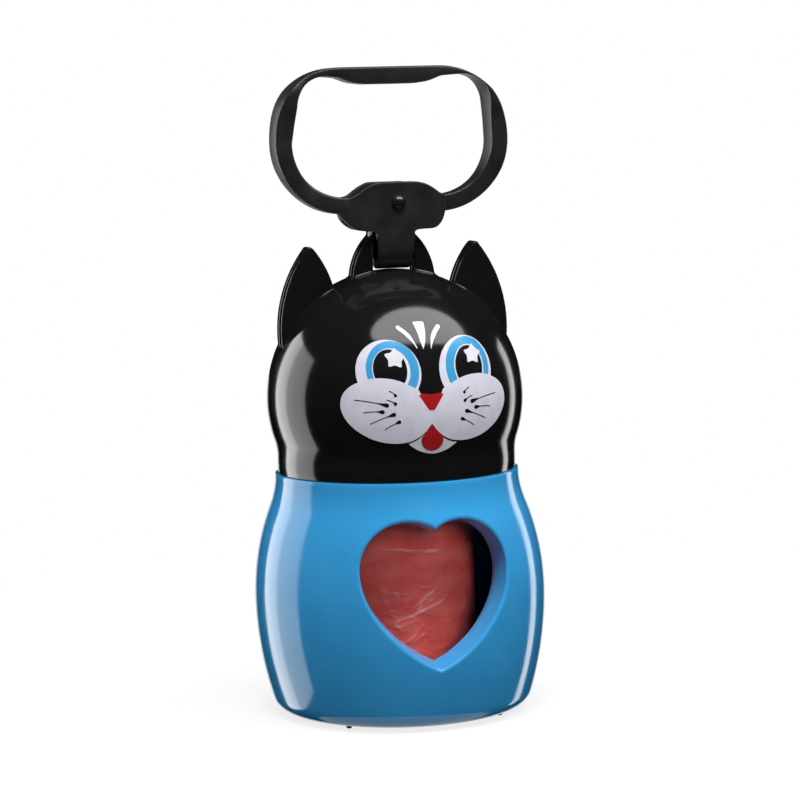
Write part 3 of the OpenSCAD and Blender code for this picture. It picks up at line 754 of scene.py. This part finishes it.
def hand_loop():
    # Where the low corners start, and the width of the arms and of the bar's middle
    corner_x, arm, grip = 9.5, 3.25, 3.35

    def half(bend_x, bend_z, bend_r, power, loop_r):
        """Outer and inner points of a half of the loop, from its low corner up to the middle of the bar."""
        def low_corner(inset):
            return [(corner_x + (x - corner_x) * (loop_r - inset) / (LOOP_R - inset), z)
                    for x, z in arc(corner_x, CORNER_Z, LOOP_R - inset, -90, 0, 4)]

        upper_out = []
        for a in range(0, 90, 2):
            cosine, sine = cos(radians(a)), sin(radians(a))
            upper_out.append((corner_x + loop_r * cosine ** (2 / power),
                              CORNER_Z + LOOP_H * sine ** (2 / power)))
        upper_in = ([(corner_x + loop_r - arm, CORNER_Z)] + arc(bend_x, bend_z, bend_r, 0, 90, 3)
                    + [(10.2, LOOP_TOP - 2.0), (8.3, LOOP_TOP - 2.75), (7.2, LOOP_TOP - 3.05)])
        steps = 34
        out_half = low_corner(0.0) + resample(upper_out + [(corner_x, LOOP_TOP), (7.6, LOOP_TOP)], steps)[1:]
        in_half = low_corner(arm) + resample(upper_in, steps)[1:]
        for x in (6.2, 5.0, 3.6, 2.0, 0.0):
            out_half.append((x, LOOP_TOP))
            in_half.append((x, LOOP_TOP - blend(x, [(0, grip), (5.0, grip - 0.02), (7.2, 3.05)])))
        return list(zip(out_half, in_half))

    right = half(14.6, LOOP_TOP - 7.0, 5.3, 2.15, LOOP_R + 0.15)
    left = [((-o[0], o[1]), (-i[0], i[1]))
            for o, i in reversed(half(12.9, LOOP_TOP - 7.4, 5.7, 2.3, LOOP_R - 0.3)[:-1])]
    tongue, tail = ([((x, LOW_Z), (x, LOW_Z + arm)) for x in line]
                    for line in ((-3.9, -3.4, 0.0, 3.0, 6.0, 8.0), (-9.1, -8.4, -7.7)))
    sections = []
    for index, (o, i) in enumerate(tongue + right + left + tail):
        middle = (o[1] + i[1]) / 2
        depth = blend(middle, [(LOW_Z + 3.2, IN_Y - 0.05), (LOW_Z + 10.5, 3.0), (CORNER_Z + 3.0, 3.05),
                               (LOOP_TOP - 5.0, 3.75), (LOOP_TOP - 1.6, 2.75)])
        front, back = -depth, depth
        if index >= len(tongue) + len(right):
            # The left arm comes forward to run into the front pad
            out = -(o[0] + i[0]) / 2
            lead = blend(out, [(10.5, 1.0), (19.5, 0.0)]) if middle < CORNER_Z else 0.0
            front = front + (-OUT_Y - front) * lead
            # Near the pad the arm's face sinks into the pad's face, without a step
            if middle < CORNER_Z - 8:
                front += blend(out, [(7.8, 0.14), (9.4, -0.03), (10.8, -0.03), (13.5, 0.0)])
                back = blend(out, [(9.4, -IN_Y), (11.2, depth)])
        if index == 0:
            o, i = (o[0], o[1] + 0.4), (o[0], i[1] - 0.4)
            front, back = front + 0.4, back - 0.4
        sections.append((o, i, front, back))
    # Each section is a rectangle with rounded corners
    points = []
    corner_steps = 4
    for o, i, front, back in sections:
        length = hypot(i[0] - o[0], i[1] - o[1])
        ux, uz = (i[0] - o[0]) / length, (i[1] - o[1]) / length
        r = min(0.5, length * 0.38, (back - front) * 0.38)
        for sx, sy, a0 in ((0, 0, 180), (1, 0, 270), (1, 1, 0), (0, 1, 90)):
            cx = length - r if sx else r
            cy = back - r if sy else front + r
            for k in range(corner_steps + 1):
                along, y = polar(r, a0 + 90 * k / corner_steps, cx, cy)
                points.append((o[0] + ux * along, y, o[1] + uz * along))
    faces = tube_faces(len(sections), 4 * (corner_steps + 1))
    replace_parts(piece("hand_loop", points, faces, *STRAP, 50), "hanger_strap")


hand_loop()


# Pads and neck: one flat pattern, folded under the bail's bar

def bowed(p0, p1, p2, p3, count):
    """Even steps from p1 towards p2 on the smooth curve through four points."""
    out = []
    for k in range(count):
        t = k / count
        out.append(tuple(0.5 * (2 * p1[a] + (p2[a] - p0[a]) * t
                                + (2 * p0[a] - 5 * p1[a] + 4 * p2[a] - p3[a]) * t * t
                                + (3 * p1[a] - p0[a] - 3 * p2[a] + p3[a]) * t ** 3) for a in (0, 1)))
    return out


def smooth_open(line):
    """An open curve through the points."""
    padded = line[:1] + line + line[-1:]
    out = []
    for four in zip(padded, padded[1:], padded[2:], padded[3:]):
        out += bowed(*four, 5)
    return out + line[-1:]


def folded_pads():
    low = BAR_Z + 0.95
    neck_z = (FOLD_Z, FOLD_Z + 1.2, BAR_Z - 0.8, low - 0.4, low - 0.15)
    # The fold hangs a little lower than a half circle, down to the dome
    sag = 1.05

    def edge(neck_x, under, over):
        """One edge of a pad from the fold up: five neck points, then its outline at even steps, with heights
        above the pad's foot and then above the loop's foot."""
        line = [(x, low + z) for x, z in under] + [(x, LOW_Z + z) for x, z in over]
        return list(zip(neck_x, neck_z)) + resample(smooth_open(line), 26)

    front_right = edge((3.5, 3.7, 3.92, 3.95, 4.08),
                       [(4.5, 0.08), (5.9, 0.16), (7.6, 0.22), (8.6, 0.62), (9.4, 1.5), (9.9, 2.6)],
                       [(10.2, 0.5), (10.35, 1.8), (10.3, 3.0), (10.0, 3.35), (9.2, 3.65), (7.7, 4.75),
                        (6.2, 5.55), (4.35, 5.95), (2.4, 6.0)])
    front_left = edge((-3.3, -3.4, -3.6, -3.7, -4.05),
                      [(-4.6, -0.02), (-5.7, 0.05), (-7.0, 0.2), (-8.2, 0.6), (-9.4, 1.6), (-10.4, 2.55)],
                      [(-11.2, 0.08), (-11.5, 0.6), (-11.5, 2.7), (-11.0, 3.05), (-9.6, 3.1), (-8.4, 3.35),
                       (-7.4, 3.85), (-6.0, 4.85), (-4.6, 5.6), (-3.0, 5.95), (-1.8, 6.0)])
    rear_right = edge((3.5, 3.6, 3.8, 3.85, 4.05),
                      [(4.6, 0.0), (5.8, 0.05), (7.1, 0.35), (8.3, 1.1), (9.3, 2.2)],
                      [(9.85, 0.3), (9.95, 1.9), (9.7, 2.9), (9.0, 3.2), (7.8, 3.45), (5.9, 4.8),
                       (3.8, 5.85), (2.2, 5.95)])
    rear_left = [(-x, z) for x, z in rear_right]
    rear_left[0] = front_left[0]
    pad = len(front_right)
    turns = 18
    angles = [radians(180.0 * k / turns) for k in range(1, turns)]
    layers = []
    for out in (OUT_Y, IN_Y):
        for front, rear in ((front_right, rear_right), (front_left, rear_left)):
            line = [(x, -out, z) for x, z in reversed(front)]
            line += [(front[0][0], -out * cos(a), FOLD_Z - sag * out * sin(a)) for a in angles]
            line += [(x, out, z) for x, z in rear]
            layers.append(line)
    count = len(layers[0])
    points = [spot for line in layers for spot in line]
    faces = []
    for level in (0, 2 * count):
        right = list(range(level, level + count))
        left = list(range(level + count, level + 2 * count))
        first, last = pad - 5, count - pad + 4
        faces.append(tuple(right[:first + 1] + left[:first + 1][::-1]))
        faces.append(tuple(right[last:] + left[last:][::-1]))
        for n in range(first, last):
            faces.append((right[n], right[n + 1], left[n + 1], left[n]))
    for start in (0, count):
        for n in range(start, start + count - 1):
            faces.append((n, n + 1, 2 * count + n + 1, 2 * count + n))
    for n in (0, count - 1):
        faces.append((n, count + n, 3 * count + n, 2 * count + n))
    soften(piece("folded_pads", points, faces, *STRAP, 30), 0.28, 3, 40)


folded_pads()


def rivet_part(name, rows):
    """A round piece on the rivet's axis; rows are (y, r)."""
    return turned(name, 1, (RIVET_X, RIVET_Z - 0.1), rows, lacquer, "strap", "dark_steel", 40, 60)


dome = [(-OUT_Y - RIVET_H * cos(radians(a)), RIVET_R * sin(radians(a)) + 0.02) for a in range(0, 91, 9)]
button = [(-0.02, 2.1), (0.1, 2.2), (0.45, 2.2), (0.72, 2.07), (0.9, 1.75), (0.9, 0.5)]
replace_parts(rivet_part("rivet_dome", dome + [(-OUT_Y + 0.05, 1.35)]), "hanger_rivet")
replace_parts(rivet_part("rivet_button", [(OUT_Y + y, r) for y, r in button]), "rivet_cap")


# Printed face: thin inks laid over each other on the dome, drawn as seen from the front

def smooth_line(points, count, corners=()):
    """A closed curve through the points, with corners at the listed ones."""
    out = []
    total = len(points)
    for n in range(total):
        m = (n + 1) % total
        before = points[n if n in corners else n - 1]
        after = points[m if m in corners else (n + 2) % total]
        out += bowed(before, points[n], points[m], after, count)
    return out


def oval(x, z, rx, rz):
    turns = [2 * pi * n / 72 for n in range(72)]
    return [(x + rx * cos(a), z + rz * sin(a)) for a in turns]


def mirror_right(half):
    """A closed outline from its right half, which starts and ends on the middle line."""
    return half + flipped(half[1:-1])


def taper(a, b, wide, thin, bend, count, hold, end):
    """A brush mark from a to b: full width up to the share hold of its length, fine from the share end on."""
    dx, dz = b[0] - a[0], b[1] - a[1]
    length = hypot(dx, dz)
    ux, uz = dx / length, dz / length
    left, right = [], []
    for k in range(count + 1):
        t = k / count
        w = wide + (thin - wide) * min(1.0, max(0.0, (t - hold) / (end - hold))) ** 0.8
        off = bend * 4 * t * (1 - t)
        cx, cz = a[0] + dx * t - uz * off, a[1] + dz * t + ux * off
        left.append((cx - uz * w, cz + ux * w))
        right.append((cx + uz * w, cz - ux * w))
    start = atan2(uz, ux) + pi / 2
    turns = [start + pi * k / 8 for k in range(1, 8)]
    return left[::-1] + [(a[0] + wide * cos(t), a[1] + wide * sin(t)) for t in turns] + right


def inside(point, outline):
    """Whether an outline goes round a point."""
    x, z = point
    odd = False
    for (ax, az), (bx, bz) in zip(outline, outline[1:] + outline[:1]):
        if (az > z) != (bz > z) and x < ax + (z - az) * (bx - ax) / (bz - az):
            odd = not odd
    return odd


# Thickness of a level of ink, spacing of its inner points, and how deep its rim goes into the plastic
INK_T, INK_STEP, INK_ROOT = 0.03, 0.75, 0.04


def on_dome(x, z, lift):
    """A point of the dome's front, lifted off its surface."""
    r = sqrt(max(0.0, head_r(z) ** 2 - x * x))
    base = Vector((x, -r, z))
    if z > BLEND_Z + 3:
        away = (base - Vector((0, 0, HEAD_Z))).normalized()
    else:
        away = Vector((x, -r, 0)).normalized()
    return base + away * lift


def print_on(name, outlines, level, material):
    """Inked shapes: the ink's face at its level above the dome, with its rim down to the plastic."""
    points, faces = [], []
    step = INK_STEP
    for outline in outlines:
        lows = [min(p[a] for p in outline) for a in (0, 1)]
        highs = [max(p[a] for p in outline) for a in (0, 1)]
        flat = [Vector(p) for p in outline]
        edges = [(n, (n + 1) % len(outline)) for n in range(len(outline))]
        for i in range(int((highs[0] - lows[0]) / step) + 1):
            for j in range(int((highs[1] - lows[1]) / step) + 1):
                spot = (lows[0] + (i + 0.5) * step, lows[1] + (j + 0.5) * step)
                near = min(hypot(spot[0] - p[0], spot[1] - p[1]) for p in outline)
                if near > 0.3 and inside(spot, outline):
                    flat.append(Vector(spot))
        whole = [list(range(len(outline)))]
        made, _, shapes, _, _, _ = delaunay_2d_cdt(flat, edges, whole, 1, 1e-6, True)
        shapes = [f for f in shapes if inside([sum(made[k][a] for k in f) / len(f) for a in (0, 1)], outline)]
        start = len(points)
        points.extend(on_dome(v.x, v.y, INK_T * level) for v in made)
        faces.extend(tuple(start + k for k in shape) for shape in shapes)
        rim = {}
        sides = dict.fromkeys(side for shape in shapes for side in zip(shape, [*shape[1:], shape[0]]))
        for a, b in sides:
            if (b, a) in sides:
                continue
            for k in (a, b):
                if k not in rim:
                    rim[k] = len(points)
                    points.append(on_dome(made[k].x, made[k].y, -INK_ROOT))
            faces.append((start + b, start + a, rim[a], rim[b]))
    piece(name, points, faces, material, "head", sharp=50)


def mirrored_pair(outline):
    return [outline, [(-x, z) for x, z in outline]]


muzzle_half = [(0, 64.02), (2.05, 64.2), (2.36, 64.95), (3.9, 65.75), (5.65, 66.6), (7.5, 67.12),
               (9.5, 67.28), (11.2, 67.12), (13.0, 66.5), (14.4, 65.7), (15.45, 64.5), (15.95, 63.0),
               (15.9, 61.4), (15.2, 59.65), (14.0, 58.1), (12.5, 56.9), (10.6, 55.85), (8.6, 55.25),
               (6.5, 55.02), (4.3, 55.25), (2.7, 55.9), (1.4, 56.9), (0.5, 57.95), (0.0, 58.6)]
chin_half = [(0, 57.9), (2.2, 56.6), (4.4, 55.6), (4.75, 54.85), (3.7, 54.0), (2.2, 53.2), (0, 52.75)]
# How far the lower part of the chin and of the tongue sits to the right
CHIN_X, TONGUE_X = 0.5, 0.2
tongue_half = [(0, 58.42), (0.85, 57.35), (1.85, 56.2), (2.12, 55.4), (1.75, 54.3), (0.9, 53.55), (0, 53.28)]
nose_half = [(0, 64.05), (1.7, 64.2), (2.36, 63.95), (1.7, 62.9), (1.05, 61.9), (0.55, 61.2), (0, 61.08)]


def on_points(half, corners_right, shift=0.0):
    """Mirrored outline, smoothed, with its corners on both sides, its lower part moved to the right."""
    drop = half[0][1] - half[-1][1]
    whole = [(x + shift * min(1.0, 2 * (half[0][1] - z) / drop), z) for x, z in mirror_right(half)]
    return smooth_line(whole, 6, {c % len(whole) for k in corners_right for c in (k, -k)})


def sparkle(x, z, size, turn):
    """A soft five-armed glint."""
    spikes = [polar(size * (0.66 if k % 2 else 1.0), 90 + turn + 36 * k, x, z) for k in range(10)]
    return smooth_line(spikes, 3)


print_on("print_eye_whites", [oval(-7.4, 68.2, 5.8, 6.05), oval(7.6, 68.25, 5.62, 6.2)], 1, white_ink)
print_on("print_irises", [oval(-6.68, 68.6, 4.74, 5.4), oval(8.02, 68.7, 4.66, 5.5)], 2, blue_ink)
print_on("print_iris_rims", [oval(-6.99, 68.57, 3.38, 4.1), oval(8.24, 68.69, 3.19, 4.07)], 3, bright_ink)
print_on("print_pupils", [oval(-7.18, 68.7, 3.02, 3.78), oval(8.22, 68.75, 2.92, 3.8)], 4, black_ink)
print_on("print_glints", [sparkle(-6.16, 70.8, 1.9, -5), sparkle(9.2, 70.86, 1.86, -5)], 6, bright_ink)
print_on("print_chin", [on_points(chin_half, (0,), CHIN_X)], 1, bright_ink)
lip_line = [(0.9, 57.3), (1.5, 56.55), (2.75, 55.55), (4.3, 54.88), (5.6, 54.78), (5.6, 55.2), (4.3, 55.45),
            (2.9, 56.1), (1.6, 57.0)]
print_on("print_lip_lines", mirrored_pair(smooth_line(lip_line, 5, (0, 4))), 2, black_ink)
print_on("print_muzzle", [on_points(muzzle_half, (1, 2, 23))], 6, white_ink)
print_on("print_tongue", [on_points(tongue_half, (0,), TONGUE_X)], 7, red_ink)
print_on("print_nose", [on_points(nose_half, (2,))], 7, red_ink)
whisker_marks = []
for a, b, wide in (((6.7, 64.05), (7.75, 64.9), 0.3), ((6.75, 62.5), (8.3, 63.3), 0.33),
                   ((8.25, 62.25), (13.7, 63.3), 0.38), ((9.05, 61.05), (12.3, 60.95), 0.38),
                   ((7.05, 60.5), (11.2, 58.8), 0.38), ((6.1, 59.1), (8.65, 57.7), 0.36)):
    whisker_marks += mirrored_pair(taper(a, b, wide, 0.085, 0.12, 20, 0.04, 0.28))
print_on("print_whiskers", whisker_marks, 7, black_ink)
fan = [taper((-4.6, 76.35), (-1.75, 72.5), 0.37, 0.07, 0.35, 14, 0.5, 1.0),
       [(-1.7, 77.2), (-1.2, 77.3), (0.0, 77.3), (0.4, 77.15), (0.36, 75.6), (0.05, 73.9), (-0.58, 72.35),
        (-0.95, 73.8), (-1.2, 75.4)],
       taper((3.1, 76.25), (0.95, 72.4), 0.42, 0.07, -0.4, 14, 0.5, 1.0)]
print_on("print_brow", [fan[0], smooth_line(fan[1], 5, (0, 3, 6)), fan[2]], 1, bright_ink)


# Floor, light and camera

# The grey light from all round, and the camera's azimuth, height and roll in degrees and its distance
AMBIENT = 0.08
CAMERA_AZ, CAMERA_UP, CAMERA_ROLL, CAMERA_FAR = 16, 5.8, 1.5, 546


def stage_mesh(name, points, faces, material):
    made = placed(name, new_mesh(name, points, faces, material))
    return made


def square(half, z):
    return [(x * half, y * half, z) for x, y in ((-1, -1), (1, -1), (1, 1), (-1, 1))]


def white_where_seen(tree):
    """1 for what the camera, a reflection or a clear part shows, 0 for the light on the object."""
    path = add(tree, "ShaderNodeLightPath")
    straight = add(tree, "ShaderNodeMath", None,
                   {0: path.outputs["Is Camera Ray"], 1: path.outputs["Is Glossy Ray"]}, operation="MAXIMUM")
    return add(tree, "ShaderNodeMath", None, {0: straight.outputs[0], 1: path.outputs["Is Transmission Ray"]},
               operation="MAXIMUM").outputs[0]


def studio():
    scene = bpy.context.scene
    scene.view_settings.view_transform = "Standard"
    paper, tree, shader, place = finish("white paper floor", Roughness=0.9, Specular_IOR_Level=0.1)
    seen = white_where_seen(tree)
    # Bright paper for the eye, a quiet grey for the light it throws back
    tone = add(tree, "ShaderNodeMix", {"A": grey(0.12), "B": grey(0.9)}, {"Factor": seen}, data_type="RGBA")
    tree.links.new(tone.outputs["Result"], shader.inputs["Base Color"])
    # The contact shadow fades out between 60 and 190 mm from the object
    away = add(tree, "ShaderNodeVectorMath", None, {0: place}, operation="LENGTH")
    fade = add(tree, "ShaderNodeMapRange", {"From Min": 0.06, "From Max": 0.19, "To Min": 0.8, "To Max": 1.0},
               {"Value": away.outputs["Value"]})
    share = add(tree, "ShaderNodeMath", None, {0: seen, 1: fade.outputs["Result"]}, operation="MULTIPLY")
    glow = add(tree, "ShaderNodeEmission", {"Color": grey(1.0), "Strength": 1.0})
    mixed = add(tree, "ShaderNodeMixShader", None, {0: share.outputs[0], 1: shader.outputs["BSDF"],
                                                    2: glow.outputs["Emission"]})
    tree.links.new(mixed.outputs["Shader"], tree.nodes["Material Output"].inputs["Surface"])
    floor = stage_mesh("floor", square(2400, 0), [(0, 1, 2, 3)], paper)
    # Reflections pass through the floor, so the lamps and the tent reach on below the table
    floor.visible_glossy = False

    world = bpy.data.worlds.new("studio")
    scene.world = world
    world.use_nodes = True
    tree = world.node_tree
    back = tree.nodes["Background"]
    back.inputs["Color"].default_value = grey(1.0)
    level = add(tree, "ShaderNodeMapRange",
                {"From Min": 0.0, "From Max": 1.0, "To Min": AMBIENT, "To Max": 1.0},
                {"Value": white_where_seen(tree)})
    tree.links.new(level.outputs["Result"], back.inputs["Strength"])



def only_reflected(made):
    made.visible_camera = False
    made.visible_diffuse = False
    made.visible_transmission = False
    made.visible_shadow = False


card_black = finish("black card", Roughness=1.0, Specular_IOR_Level=0.0, Base_Color=grey(0.01))[0]
CARD_R, CARD_TOP = 1300, 1500


def black_card(name, start, end, low=-CARD_TOP):
    """A curved black card round the object that only reflections see, from one azimuth to another."""
    steps = max(2, round(abs(end - start) / 6))
    points = []
    for k in range(steps + 1):
        a = radians(start + (end - start) * k / steps - CAMERA_AZ)
        points += [(CARD_R * sin(a), -CARD_R * cos(a), z) for z in (low, CARD_TOP)]
    faces = [(2 * k, 2 * k + 2, 2 * k + 3, 2 * k + 1) for k in range(steps)]
    only_reflected(stage_mesh(name, points, faces, card_black))


def direction(azimuth, elevation):
    """From the object's middle outwards; azimuth from the camera's side, positive to the right."""
    turn, tilt = radians(azimuth - CAMERA_AZ), radians(elevation)
    return Vector((sin(turn) * cos(tilt), -cos(turn) * cos(tilt), sin(tilt)))


def area_light(name, shape, wide, high, watts, place):
    data = bpy.data.lights.new(name, "AREA")
    data.shape = shape
    data.size, data.size_y = wide * MM, high * MM
    data.energy = watts
    made = placed(name, data)
    made.location = place * MM
    made.visible_camera = False
    return made


def lamp(name, azimuth, elevation, distance, wide, high, watts, target=(0, 0, 60), in_gloss=True):
    """A soft box in a direction and at a distance from its target, which it faces."""
    away = direction(azimuth, elevation)
    made = area_light(name, "RECTANGLE", wide, high, watts, Vector(target) + away * distance)
    made.rotation_euler = away.to_track_quat("Z", "Y").to_euler()
    made.visible_glossy = in_gloss


def camera():
    """The photo's camera: it looks at a place 1 mm to the right of the object's axis."""
    turn, roll = radians(CAMERA_AZ), radians(CAMERA_ROLL)
    back = direction(0, CAMERA_UP)
    right = Vector((cos(turn), -sin(turn), 0))
    up = back.cross(right)
    target = Vector((0, 0, 60.7)) + right
    place = (target + back * CAMERA_FAR) * MM
    across = right * cos(roll) - up * sin(roll)
    upward = right * sin(roll) + up * cos(roll)
    data = bpy.data.cameras.new("camera")
    data.lens, data.sensor_width = 126, 36
    data.clip_start, data.clip_end = 0.02, 20
    made = placed("camera", data)
    made.matrix_world = Matrix([(across[n], upward[n], back[n], place[n]) for n in range(3)] + [(0, 0, 0, 1)])
    bpy.context.scene.camera = made


studio()
# A black tent, open only below the table behind the object, keeps the dark plastic dark between the lights
black_card("tent card", -160, 162)
black_card("rear card", 162, 200, low=0)
only_reflected(stage_mesh("ceiling card", square(1400, CARD_TOP), [(0, 1, 2, 3)], card_black))
lamp("left soft box", -109, 0, 620, 526, 770, 3.4, target=(0, 0, 5))
lamp("left strip light", -122, 0, 600, 212, 760, 0.85, target=(0, 0, 5))
lamp("right strip light", 129.5, 0, 700, 125, 740, 1.0, target=(0, 0, -90))
lamp("front fill", 20, 17, 900, 300, 300, 2.5, in_gloss=False)
lamp("high fill", -12, 66, 900, 300, 300, 3.8, in_gloss=False)
# The big oval light above the object, to the right and in front; it faces straight down
key = area_light("oval key light", "ELLIPSE", 1190, 560, 8.2, Vector((261, -276, 760)))
key.rotation_euler = (0, 0, radians(5.7))
camera()
